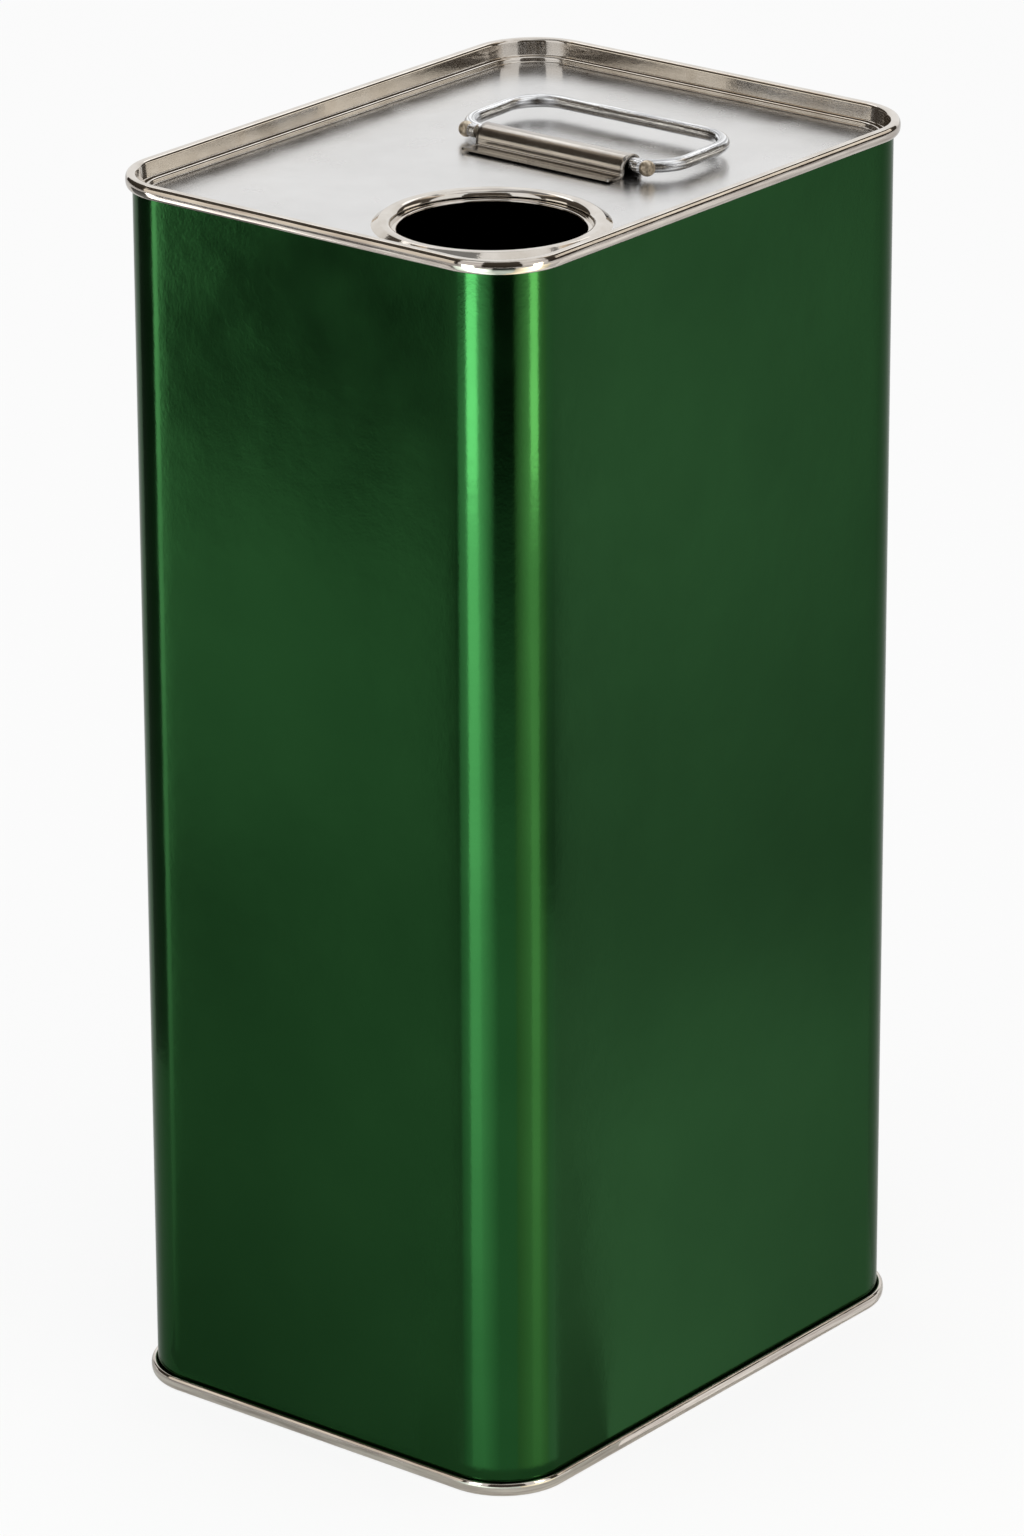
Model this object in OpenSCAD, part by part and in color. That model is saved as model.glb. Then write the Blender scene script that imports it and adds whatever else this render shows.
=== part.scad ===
// Five litre tinplate can for olive oil: a rolled rectangular body, two ends held by double seams,
// an open pouring hole with a formed collar, and a wire bail in a folded strap.
// Millimetres, +Z up, origin at the centre of the footprint, standing on z = 0.
// X is the narrow way across and Y the wide way. The pouring hole is near the +X, -Y corner.

/* [Can] */
// Width over the seams, along X
can_w = 121; // [113:1:150]
// Depth over the seams, along Y
can_d = 157; // [147:1:190]
// Height over the seams
can_h = 300; // [200:1:340]
// Corner radius over the seams
corner_r = 17.5; // [14:0.5:24]

/* [Sheet and seams] */
// Thickness of the tinplate
sheet_t = 0.35; // [0.28:0.01:0.4]
// Room between two layers of a double seam
seam_gap = 0.18; // [0.12:0.01:0.22]
// Height of a double seam
seam_h = 3.2; // [3:0.1:4]
// Flat width on the rim of a double seam
rim_flat = 0.8; // [0.5:0.1:1]
// Clearance of the sealing compound to the sheet on each side
film_clear = 0.03; // [0.02:0.005:0.04]
// Width of the welded overlap down the back of the body
weld_w = 0.9; // [0.6:0.1:2]
// How far the welded overlap stands proud on each side
weld_proud = 0.12; // [0.08:0.01:0.14]

/* [Ends] */
// Depth of the ledge in an end, below the top of its seam
ledge_depth = 3.9; // [3.5:0.1:5]
// Width of that ledge
ledge_w = 1.7; // [1.3:0.1:3]
// Depth of the panel below the ledge
panel_drop = 1.2; // [0.8:0.1:2]
// Bend radius in the ends, at the middle of the sheet
end_bend_r = 0.45; // [0.3:0.05:0.5]

/* [Pouring hole] */
// Place of the hole along X
hole_x = 24.5; // [20:0.5:27]
// Place of the hole along Y
hole_y = -40; // [-44:0.5:-38]
// Clear diameter of the neck
neck_d = 43; // [38:0.5:44]
// Diameter of the wider step above the neck, inside
step_d = 45.2; // [44.8:0.1:46.5]
// Outer diameter of the collar at its crest
collar_top_d = 51.6; // [50.4:0.2:53]
// Outer diameter of the collar's foot on the panel
collar_foot_d = 54; // [53.8:0.2:58]
// Height of the collar over the panel
collar_h = 1.2; // [0.8:0.1:1.5]
// Radius on the collar's outer crest, at the middle of the sheet
crest_r = 0.6; // [0.4:0.05:0.7]
// Radius of the lip that rolls down into the hole, at the middle of the sheet
lip_r = 1.5; // [0.9:0.1:1.6]
// Depth of the wide step below the collar's top
step_depth = 2; // [1.8:0.1:3.2]
// Depth of the neck's lower edge below the collar's top
neck_depth = 4; // [3.4:0.1:8]

/* [Handle strap] */
// Middle of the strap along X
strap_x = 4.5; // [0:0.5:6]
// Hinge axis of the handle along Y
hinge_y = 9.5; // [6:0.5:14]
// Length of the strap along X
strap_len = 43; // [36:0.5:46]
// Thickness of the strap
strap_t = 0.6; // [0.5:0.05:0.7]
// Inner width of the arch
arch_w = 5.9; // [5.2:0.1:7]
// Width of each flange beside the arch
flange_w = 5.6; // [4:0.1:6]
// Bend radius between flange and arch, at the middle of the sheet
flange_bend_r = 0.8; // [0.6:0.05:1]

/* [Handle bail] */
// Diameter of the wire
wire_d = 3.2; // [2.8:0.1:3.4]
// Height of the hinge axis over the panel
axis_h = 2.75; // [2.7:0.05:3.1]
// Room over the wire inside the arch
arch_clear = 0.1; // [0.1:0.05:0.3]
// Width of the bail between the middles of its arms
bail_w = 61; // [54:0.5:64]
// Reach of the bail from the hinge axis to the middle of its grip
bail_reach = 28.9; // [24:0.1:30]
// Corner radius of the bail beside the strap, at the middle of the wire
near_bend_r = 9; // [5:0.5:10]
// Corner radius of the bail at its grip, at the middle of the wire
far_bend_r = 8; // [5:0.5:12]
// Height of the grip's middle over the hinge axis when the bail is folded back
grip_rise = 0.5; // [0:0.1:1]
// Room between the two wire ends, which meet inside the arch
end_gap = 1; // [0.5:0.1:4]
// Length of each stop stub
stub_len = 4.6; // [3:0.1:5]
// Side play between the strap and the stubs
side_play = 1.7; // [1:0.1:3]
// How far the stubs' middle lies in front of the hinge axis
stub_ahead = 0.8; // [0.5:0.05:0.85]

/* [Hidden] */

lacquer_green = [0.13, 0.33, 0.14];
bare_tinplate = [0.80, 0.80, 0.79];
strap_steel = [0.62, 0.60, 0.57];
wire_steel = [0.86, 0.87, 0.89];
compound_grey = [0.45, 0.46, 0.44];

// The five layers of a seam lie one pitch apart. Their middles, measured inwards from the outside:
pitch = sheet_t + seam_gap;
cover_wall_s = sheet_t / 2;
body_hook_s = cover_wall_s + pitch;
cover_hook_s = cover_wall_s + 2 * pitch;
body_wall_s = cover_wall_s + 3 * pitch;
chuck_wall_s = cover_wall_s + 4 * pitch;

// Heights in a seam, measured down from its top
roll_z = -(sheet_t / 2 + 2 * pitch);
rim_r = 2 * pitch - rim_flat / 2;
tuck_z = -seam_h + sheet_t / 2 + pitch;
body_hook_end_z = -seam_h + sheet_t + seam_gap;
cover_hook_end_z = -(2 * sheet_t + 2 * seam_gap);

panel_z = -(ledge_depth + panel_drop + sheet_t / 2);
ledge_z = -(ledge_depth + sheet_t / 2);
ledge_s = chuck_wall_s + ledge_w;
panel_top = can_h + panel_z + sheet_t / 2;

body_inner_s = body_wall_s + sheet_t / 2;

hinge_z = panel_top + axis_h;
wire_r = wire_d / 2;
arch_inner_top = axis_h + wire_r + arch_clear;
bail_tilt = asin(grip_rise / bail_reach);
stub_start = strap_len / 2 + side_play;

roll_steps = 12;
rim_steps = 6;
bend_steps = 5;
lip_steps = 8;
// Where the collar's flank meets the round of its crest, as an angle on that round
flank_end = 30;
arch_steps = 16;
over = 1;
$fn = 96;

// Points of an arc round c, from angle a0 to a1
function arc(c, r, a0, a1, n) = [for (i = [0:n]) c + r * [cos(a0 + (a1 - a0) * i / n), sin(a0 + (a1 - a0) * i / n)]];
function unit(v) = v / norm(v);
function square_to(v) = [-v[1], v[0]];
function leg(p, i) = unit(i == 0 ? p[1] - p[0] : p[i] - p[i - 1]);
function heading(p, i) = i == 0 || i == len(p) - 1 ? leg(p, i) : unit(leg(p, i) + leg(p, i + 1));
// A path moved sideways by d, with mitred corners
function beside(p, d) = [for (i = [0:len(p) - 1])
    p[i] + square_to(heading(p, i)) * d / (square_to(heading(p, i)) * square_to(leg(p, i)))];
function reversed(p) = [for (i = [len(p) - 1:-1:0]) p[i]];
// Outline of a sheet of thickness t whose middle follows the path
function sheet(p, t) = concat(beside(p, t / 2), reversed(beside(p, -t / 2)));
function dropped(p, z) = [for (q = p) [q[0], q[1] + z]];
function flipped(p, z) = [for (q = p) [q[0], z - q[1]]];

// Sections are drawn as [distance inwards from the outside, height].
// Middle of the body sheet in a top seam: up the wall, over the roll and down the hook
function body_roll() = concat(
    arc([cover_hook_s, roll_z], pitch, 0, 180, roll_steps),
    [[body_hook_s, body_hook_end_z]]);

// Middle of an end sheet: up the cover hook, round the tuck, up the outside, over the rim to the chuck wall
function end_roll() = concat(
    [[cover_hook_s, cover_hook_end_z]],
    arc([body_hook_s, tuck_z], pitch, 0, -180, roll_steps),
    arc([cover_hook_s - rim_flat / 2, -sheet_t / 2 - rim_r], rim_r, 180, 90, rim_steps),
    arc([cover_hook_s + rim_flat / 2, -sheet_t / 2 - rim_r], rim_r, 90, 0, rim_steps));

// Middle of an end sheet from the chuck wall over the ledge to the panel
function end_dish() = concat(
    arc([chuck_wall_s + end_bend_r, ledge_z + end_bend_r], end_bend_r, 180, 270, bend_steps),
    arc([ledge_s - end_bend_r, ledge_z - end_bend_r], end_bend_r, 90, 0, bend_steps),
    arc([ledge_s + end_bend_r, panel_z + end_bend_r], end_bend_r, 180, 270, bend_steps),
    [[corner_r, panel_z]]);

// Carries a section round the rounded rectangle of the can
module around_can() {
    for (side = [0:3]) {
        along_x = side % 2 == 0;
        run = (along_x ? can_w : can_d) - 2 * corner_r;
        out = (along_x ? can_d : can_w) / 2;
        rotate([0, 0, 90 * side]) {
            translate([-run / 2, -out, 0])
                rotate([90, 0, 90])
                    linear_extrude(height = run) children();
            translate([run / 2, -out + corner_r, 0])
                rotate([0, 0, -90])
                    rotate_extrude(angle = 90) translate([corner_r, 0]) mirror([1, 0]) children();
        }
    }
}

// The sealing film lies over the body hook, under the roll of the end
module compound_section() {
    inner_r = pitch + sheet_t / 2 + film_clear;
    outer_r = 2 * pitch - sheet_t / 2 - film_clear;
    polygon(concat(arc([cover_hook_s, roll_z], outer_r, 0, 180, roll_steps),
                   arc([cover_hook_s, roll_z], inner_r, 180, 0, roll_steps)));
}

module end_section() {
    polygon(sheet(concat(end_roll(), end_dish()), sheet_t));
}

// Flat middle of an end, between the straight runs of its sweep
module end_middle() {
    translate([-can_w / 2 + corner_r, -can_d / 2 + corner_r, panel_z - sheet_t / 2])
        cube([can_w - 2 * corner_r, can_d - 2 * corner_r, sheet_t]);
}

// Collar and neck of the pouring hole, as a section through the sheet
module collar_section() {
    bend = end_bend_r;
    step_r = step_d / 2 + sheet_t / 2;
    neck_r = neck_d / 2 + sheet_t / 2;
    top_z = panel_z + collar_h;
    polygon(sheet(concat(
        [[collar_foot_d / 2 + over, panel_z], [collar_foot_d / 2, panel_z]],
        arc([collar_top_d / 2 - crest_r, top_z - crest_r], crest_r, flank_end, 90, bend_steps),
        arc([step_r + lip_r, top_z - lip_r], lip_r, 90, 180, lip_steps),
        arc([step_r - bend / 2, top_z - step_depth + bend / 2], bend / 2, 0, -90, bend_steps),
        arc([neck_r + bend / 2, top_z - step_depth - bend / 2], bend / 2, 90, 180, bend_steps),
        [[neck_r, top_z + sheet_t / 2 - neck_depth]]), sheet_t));
}

module body_shell() color(lacquer_green) {
    around_can()
        polygon(sheet(concat(
            flipped(reversed(body_roll()), 0),
            dropped(body_roll(), can_h)), sheet_t));
    translate([-weld_w / 2, can_d / 2 - body_inner_s - weld_proud, seam_h + over])
        cube([weld_w, sheet_t + 2 * weld_proud, can_h - 2 * (seam_h + over)]);
}

module top_end() color(bare_tinplate) translate([0, 0, can_h]) {
    difference() {
        union() {
            around_can() end_section();
            end_middle();
        }
        translate([hole_x, hole_y, panel_z - over])
            cylinder(h = 2 * over, d = collar_foot_d + over);
    }
    translate([hole_x, hole_y, 0]) rotate_extrude() collar_section();
}

module bottom_end() color(bare_tinplate) mirror([0, 0, 1]) {
    around_can() end_section();
    end_middle();
}

module top_seam_compound() color(compound_grey) translate([0, 0, can_h])
    around_can() compound_section();

module bottom_seam_compound() color(compound_grey) mirror([0, 0, 1])
    around_can() compound_section();

// Folded strap, drawn as a section across the hinge: [across, height over the panel]
module handle_strap() color(strap_steel) {
    half = arch_w / 2 + strap_t / 2;
    low = strap_t / 2;
    spring_z = arch_inner_top - arch_w / 2;
    path = concat(
        [[-half - flange_w, low]],
        arc([-half - flange_bend_r, low + flange_bend_r], flange_bend_r, 270, 360, bend_steps),
        arc([0, spring_z], half, 180, 0, arch_steps),
        arc([half + flange_bend_r, low + flange_bend_r], flange_bend_r, 180, 270, bend_steps),
        [[half + flange_w, low]]);
    translate([strap_x - strap_len / 2, hinge_y, panel_top])
        rotate([90, 0, 90]) linear_extrude(height = strap_len) polygon(sheet(path, strap_t));
}

// One bend of the wire, a quarter ring about its own centre
module wire_bend(bend_r) {
    rotate_extrude(angle = 90) translate([bend_r, 0]) circle(d = wire_d);
}

module wire_run(length) {
    rotate([0, 90, 0]) cylinder(h = length, d = wire_d);
}

// Half of the bail: from the wire end in the arch, round the side, to the middle of the grip
module half_bail() {
    half = bail_w / 2;
    arm = bail_reach - near_bend_r - far_bend_r;
    translate([end_gap / 2, 0, 0]) wire_run(half - near_bend_r - end_gap / 2);
    translate([half - near_bend_r, near_bend_r, 0]) rotate([0, 0, -90]) wire_bend(near_bend_r);
    translate([half, near_bend_r, 0]) rotate([0, 0, 90]) wire_run(arm);
    translate([half - far_bend_r, bail_reach - far_bend_r, 0]) wire_bend(far_bend_r);
    translate([0, bail_reach, 0]) wire_run(half - far_bend_r);
    translate([stub_start, -stub_ahead, 0]) wire_run(stub_len);
}

module handle_bail() color(wire_steel)
    translate([strap_x, hinge_y, hinge_z]) rotate([bail_tilt, 0, 0]) {
        half_bail();
        mirror([1, 0, 0]) half_bail();
    }

body_shell();
top_end();
bottom_end();
top_seam_compound();
bottom_seam_compound();
handle_strap();
handle_bail();
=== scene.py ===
"""Looks of a five litre tinplate can for olive oil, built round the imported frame.

Shapes are drawn in millimetres and written to the meshes in metres. Sections through sheet metal are lists
of (distance inwards from the outside of the can, height), as in the part's own source.
"""
from math import asin, ceil, cos, hypot, pi, radians, sin, sqrt

import bmesh
import bpy
from mathutils import Matrix, Vector, noise


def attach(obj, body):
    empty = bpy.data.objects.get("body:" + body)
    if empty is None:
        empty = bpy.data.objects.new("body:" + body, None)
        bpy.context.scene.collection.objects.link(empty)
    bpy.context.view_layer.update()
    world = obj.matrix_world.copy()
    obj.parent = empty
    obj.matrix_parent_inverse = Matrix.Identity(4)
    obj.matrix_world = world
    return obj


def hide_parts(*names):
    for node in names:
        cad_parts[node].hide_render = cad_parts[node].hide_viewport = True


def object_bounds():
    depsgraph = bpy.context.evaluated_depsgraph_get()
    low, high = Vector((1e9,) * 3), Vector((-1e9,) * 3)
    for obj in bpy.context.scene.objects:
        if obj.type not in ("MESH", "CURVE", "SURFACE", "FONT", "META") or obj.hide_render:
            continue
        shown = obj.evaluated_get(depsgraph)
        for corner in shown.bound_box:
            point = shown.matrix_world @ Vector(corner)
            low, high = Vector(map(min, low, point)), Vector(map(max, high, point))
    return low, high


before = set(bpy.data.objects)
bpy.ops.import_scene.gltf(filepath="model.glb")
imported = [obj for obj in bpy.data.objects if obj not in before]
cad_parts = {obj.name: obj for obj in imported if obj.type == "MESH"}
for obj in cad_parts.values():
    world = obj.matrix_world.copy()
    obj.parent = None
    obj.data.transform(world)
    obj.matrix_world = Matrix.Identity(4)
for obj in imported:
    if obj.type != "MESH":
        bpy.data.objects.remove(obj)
cad_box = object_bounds()

MM = 0.001

# Camera: angles in degrees, places in metres, lens and sensor in millimetres
CAMERA_AZIMUTH = 38.557
CAMERA_ELEVATION = 20.963
CAMERA_ROLL = -0.210
CAMERA_DISTANCE = 1.8037
CAMERA_TARGET_RIGHT = -0.001728
CAMERA_TARGET_HEIGHT = 0.146375
CAMERA_LENS = 178.41
CAMERA_SENSOR = 36

# Studio: shares of plain white, then places in metres
WORLD_LIGHT = 0.80
FLOOR_WHITE = 0.86
FLOOR_GREY = 0.88
FLOOR_HALF = 4
STRIP_DISTANCE = 0.36
STRIP_HEIGHT = 0.205
STRIP_TALL = 0.15
CARD_LIFT = 0.0004
CONTACT = 0.012
WALL_DISTANCE = 1.5
PATCH_DISTANCE = 1.4

# Colours of the light
PLAIN = (1, 1, 1)
COOL = (0.84, 1.0, 0.94)
WARM = (1.0, 0.95, 0.74)
BROWN = (1.0, 0.86, 0.70)
BEIGE = (1.0, 0.94, 0.84)

# The can, in millimetres, as all lengths from here on
CAN_W, CAN_D, CAN_H = [round((high - low) / MM, 3) for low, high in zip(*cad_box)]
CORNER_R = 17.5
SHEET_T = 0.35
SEAM_GAP = 0.18
SEAM_H = 3.2
RIM_FLAT = 0.8

# Ends
LEDGE_DEPTH = 3.9
LEDGE_W = 1.7
PANEL_DROP = 1.2
END_BEND_R = 0.45
WALL_LEAN = 0.3

# Pouring hole
HOLE_X, HOLE_Y = 24.5, -40.0
NECK_D = 43.0
STEP_D = 45.2
COLLAR_TOP_D = 51.6
COLLAR_FOOT_D = 54.0
COLLAR_H = 1.2
CREST_R = 0.6
FLANK_SLOPE = 35
LIP_R = 1.5
STEP_DEPTH = 2.0
NECK_DEPTH = 4.0

# Handle strap, whose flanges turn up a little at their outer edges
STRAP_X = 4.5
HINGE_Y = 9.5
STRAP_LEN = 43.0
STRAP_T = 0.6
ARCH_W = 5.9
FLANGE_W = 5.6
FLANGE_BEND_R = 0.8
FLANGE_LIFT = 0.45
FLANGE_LIFT_W = 3
STRAP_BROKEN = 0.08

# Handle bail, with a knob at the end of each stub and a shallow groove behind it
WIRE_D = 3.2
AXIS_H = 2.75
ARCH_CLEAR = 0.1
BAIL_W = 61.0
BAIL_REACH = 28.9
NEAR_BEND_R = 9.0
FAR_BEND_R = 9.5
GRIP_RISE = 0.5
END_GAP = 1.0
STUB_LEN = 4.6
SIDE_PLAY = 1.7
STUB_AHEAD = 0.8
WIRE_BROKEN = 0.2
KNOB_R = 1.9
KNOB_FLAT = 1.35
KNOB_LEN = 2.6
GROOVE_DEPTH = 0.2
GROOVE_HALF = 0.8

# Layers of a double seam, as distances inwards from the outside
PITCH = SHEET_T + SEAM_GAP
COVER_WALL_S = SHEET_T / 2
BODY_HOOK_S = COVER_WALL_S + PITCH
COVER_HOOK_S = COVER_WALL_S + 2 * PITCH
BODY_WALL_S = COVER_WALL_S + 3 * PITCH
CHUCK_WALL_S = COVER_WALL_S + 4 * PITCH
LEDGE_S = CHUCK_WALL_S + LEDGE_W

# Heights below the top of a seam
ROLL_Z = -(SHEET_T / 2 + 2 * PITCH)
RIM_R = 2 * PITCH - RIM_FLAT / 2
TUCK_Z = -SEAM_H + SHEET_T / 2 + PITCH
BODY_HOOK_END_Z = -SEAM_H + SHEET_T + SEAM_GAP
COVER_HOOK_END_Z = -(2 * SHEET_T + 2 * SEAM_GAP)
LEDGE_Z = -(LEDGE_DEPTH + SHEET_T / 2)
PANEL_Z = -(LEDGE_DEPTH + PANEL_DROP + SHEET_T / 2)
PANEL_TOP = CAN_H + PANEL_Z + SHEET_T / 2
HINGE_Z = PANEL_TOP + AXIS_H

# Fineness of the meshes: counts of steps
CORNER_STEPS = 28
ROLL_STEPS = 20
BEND_STEPS = 8
RIM_STEPS = 14
LIP_STEPS = 14
NECK_STEPS = 6
FOOT_STEPS = 5
PANEL_STEPS = 46
ARCH_STEPS = 40
STRAP_STEPS = 43
WIRE_SIDES = 40
WIRE_BEND_STEPS = 30
CARD_ROWS = 4

# Fineness of the meshes: lengths of steps, and of a card's in degrees
BODY_STEP = 3.0
BODY_ROW = 4.0
LID_STEP = 2.0
SEAM_STEP = 0.2
WALL_STEP = 0.4
FLANGE_STEP = 1.0
WIRE_STEP = 2.5
WIRE_CUT_SHARE = 0.2
STUB_STEP = 0.15
CARD_STEP = 3.0

# Gentle unevenness of the body's flat faces, which fades towards corners and seams: a bow that is deepest at
# half the height, with its share at the ends, and a wave
BODY_BOW = 0.22
BODY_BOW_ENDS = 0.6
BODY_WAVE = 0.10
BODY_WAVE_WIDE = 52
BODY_WAVE_TALL = 75
BODY_WAVE_PLACE = Vector((3.1, 7.7, 1.3))
BODY_EVEN_END = 6
BODY_FADE_ROUND = 26
BODY_FADE_UP = 40

# Waves of the lid's panel, each with its length, its place in the noise and its share
LID_WAVE = 0.022
LID_WAVES = ((30, 4.2, 1.0), (14, 8.6, 0.2))
LID_FADE = 9

# Waves of the strap, and their lengths along and across it
STRAP_WAVE = 0.02
STRAP_WAVE_LONG = 9
STRAP_WAVE_SHORT = 4

# Waves of the wire, how fast they change along and round it, and how fast its streaks change along it; the
# streaks are partly drawing lines and partly painted reflections
WIRE_WAVE = 0.03
WIRE_WAVE_ALONG = 0.35
WIRE_WAVE_ROUND = 1.3
STREAK_PACE = 0.01

# Bulge of a seam's outer wall, and how far from the wall's middle it still grows, as a share of half the wall
SEAM_BARREL = 0.09
BARREL_END = 1.3

# Depth below a seam's top from which its outer wall takes the darker seam look, which is painted shade; the
# crest above keeps the brighter worked look
PAINTED_SHADE_START_DEPTH = 0.45

# Round at the collar's foot, and the middle of a panel without a hole
FOOT_R = 0.4
PANEL_CENTRE_R = 4.0

# Places of the three looks in an end's list of materials; the third, for a seam's outer wall, is darkened as
# painted shade
FLAT, WORKED, SEAM_WALL_PAINTED_SHADE = range(3)


def smooth(x):
    """Smooth step from 0 to 1."""
    x = min(max(x, 0.0), 1.0)
    return x * x * (3 - 2 * x)


def arc(cx, cz, radius, start, end, steps):
    angles = [radians(start + (end - start) * i / steps) for i in range(steps + 1)]
    return [(cx + radius * cos(a), cz + radius * sin(a)) for a in angles]


def line(start, end, step):
    """Points from start to end, without the first, about step apart."""
    count = max(1, ceil(hypot(end[0] - start[0], end[1] - start[1]) / step))
    return [(start[0] + (end[0] - start[0]) * i / count, start[1] + (end[1] - start[1]) * i / count)
            for i in range(1, count + 1)]


def beside(path, shift):
    """The path moved sideways, with mitred corners."""
    points = [Vector(p) for p in path]
    legs = [(b - a).normalized() for a, b in zip(points, points[1:])]
    moved = []
    for i, point in enumerate(points):
        before = legs[max(i - 1, 0)]
        after = legs[min(i, len(legs) - 1)]
        heading = (before + after).normalized()
        side = Vector((-heading.y, heading.x))
        square = Vector((-after.y, after.x))
        moved.append(tuple(point + side * (shift / side.dot(square))))
    return moved


def dropped(path, height):
    return [(s, z + height) for s, z in path]


def flipped(path, height):
    return [(s, height - z) for s, z in path]


def stations(step):
    """Places round the can: a point on the outside, the way inwards, and how far the next corner is."""
    places = []
    for side in range(4):
        turn = Matrix.Rotation(radians(90 * side), 2)
        along_x = side % 2 == 0
        run = (CAN_W if along_x else CAN_D) - 2 * CORNER_R
        out = (CAN_D if along_x else CAN_W) / 2
        count = ceil(run / step)
        for i in range(count):
            x = -run / 2 + run * i / count
            places.append((turn @ Vector((x, -out)), turn @ Vector((0, 1)), min(x + run / 2, run / 2 - x)))
        centre = Vector((run / 2, -out + CORNER_R))
        for i in range(CORNER_STEPS):
            a = radians(-90 + 90 * i / CORNER_STEPS)
            outward = Vector((cos(a), sin(a)))
            places.append((turn @ (centre + outward * CORNER_R), turn @ -outward, 0.0))
    return places


def mesh_object(name, bm, sharp=40):
    """Makes an object from a bmesh in millimetres: smooth, with sharp edges where faces meet steeply."""
    bmesh.ops.recalc_face_normals(bm, faces=bm.faces)
    mesh = bpy.data.meshes.new(name)
    bm.to_mesh(mesh)
    bm.free()
    mesh.transform(Matrix.Scale(MM, 4))
    mesh.polygons.foreach_set("use_smooth", [True] * len(mesh.polygons))
    mesh.set_sharp_from_angle(angle=radians(sharp))
    obj = bpy.data.objects.new(name, mesh)
    bpy.context.scene.collection.objects.link(obj)
    return obj


def add_rings(bm, rings, closed, finishes=()):
    """Joins rings of points, each a closed loop, into a skin. Returns the vertices ring by ring.

    finishes gives the material of the faces after each ring, the first if it is left out.
    """
    loops = [[bm.verts.new(p) for p in ring] for ring in rings]
    pairs = list(zip(loops, loops[1:])) + ([(loops[-1], loops[0])] if closed else [])
    for (low, high), finish in zip(pairs, finishes or [0] * len(pairs)):
        for i in range(len(low)):
            j = (i + 1) % len(low)
            bm.faces.new((low[i], low[j], high[j], high[i])).material_index = finish
    return loops


# Shape of the body

def body_roll():
    """Rolled edge of the body, inside a seam."""
    return arc(COVER_HOOK_S, ROLL_Z, PITCH, 0, 180, ROLL_STEPS) + [(BODY_HOOK_S, BODY_HOOK_END_Z)]


def body_unevenness(point, corner_distance, z):
    """How far a flat face of the body lies inwards, none at its seams and corners."""
    inside = (smooth(corner_distance / BODY_FADE_ROUND) * smooth((z - BODY_EVEN_END) / BODY_FADE_UP)
              * smooth((CAN_H - BODY_EVEN_END - z) / BODY_FADE_UP))
    place = Vector((point.x / BODY_WAVE_WIDE, point.y / BODY_WAVE_WIDE, z / BODY_WAVE_TALL))
    wave = noise.noise(place + BODY_WAVE_PLACE)
    bow = BODY_BOW * (BODY_BOW_ENDS + (1 - BODY_BOW_ENDS) * sin(z / CAN_H * pi))
    return inside * (bow + BODY_WAVE * wave)


def make_body():
    """The lacquered body: one sheet round the can, with its edges rolled into both seams."""
    top = dropped(body_roll(), CAN_H)
    bottom = flipped(body_roll()[::-1], 0)
    path = bottom + line(bottom[-1], top[0], BODY_ROW)[:-1] + top
    outline = beside(path, SHEET_T / 2) + beside(path, -SHEET_T / 2)[::-1]
    places = stations(BODY_STEP)
    rings = []
    for s, z in outline:
        ring = []
        for point, inward, corner_distance in places:
            depth = s + body_unevenness(point, corner_distance, z)
            ring.append((*(point + inward * depth), z))
        rings.append(ring)
    bm = bmesh.new()
    add_rings(bm, rings, True)
    return mesh_object("body_lacquered_sheet", bm)


# Shape of the ends

def end_roll():
    """Rolled edge of an end. Its outer wall is a little barrelled, as the seaming roll leaves it."""
    tuck = arc(BODY_HOOK_S, TUCK_Z, PITCH, 0, -180, ROLL_STEPS)
    shoulder = arc(COVER_HOOK_S - RIM_FLAT / 2, -SHEET_T / 2 - RIM_R, RIM_R, 180, 90, RIM_STEPS)
    wall = line(tuck[-1], shoulder[0], SEAM_STEP)[:-1]
    middle_z = (tuck[-1][1] + shoulder[0][1]) / 2
    half = (shoulder[0][1] - tuck[-1][1]) / 2
    rolled = []
    for s, z in tuck + wall + shoulder:
        outside = smooth((BODY_HOOK_S - s) / PITCH)
        rolled.append((s + SEAM_BARREL * outside * min(abs(z - middle_z) / half, BARREL_END) ** 2, z))
    return ([(COVER_HOOK_S, COVER_HOOK_END_Z)] + rolled
            + arc(COVER_HOOK_S + RIM_FLAT / 2, -SHEET_T / 2 - RIM_R, RIM_R, 90, 0, RIM_STEPS))


def end_dish():
    """From the rim down the chuck wall, which leans in a little, to the ledge and the panel."""
    r = END_BEND_R
    foot = (CHUCK_WALL_S + WALL_LEAN, LEDGE_Z + r)
    return (line((CHUCK_WALL_S, -SHEET_T / 2 - RIM_R), foot, WALL_STEP)[:-1]
            + arc(foot[0] + r, LEDGE_Z + r, r, 180, 270, BEND_STEPS)
            + arc(LEDGE_S + WALL_LEAN - r, LEDGE_Z - r, r, 90, 0, BEND_STEPS)
            + arc(LEDGE_S + WALL_LEAN + r, PANEL_Z + r, r, 180, 270, BEND_STEPS))


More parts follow.
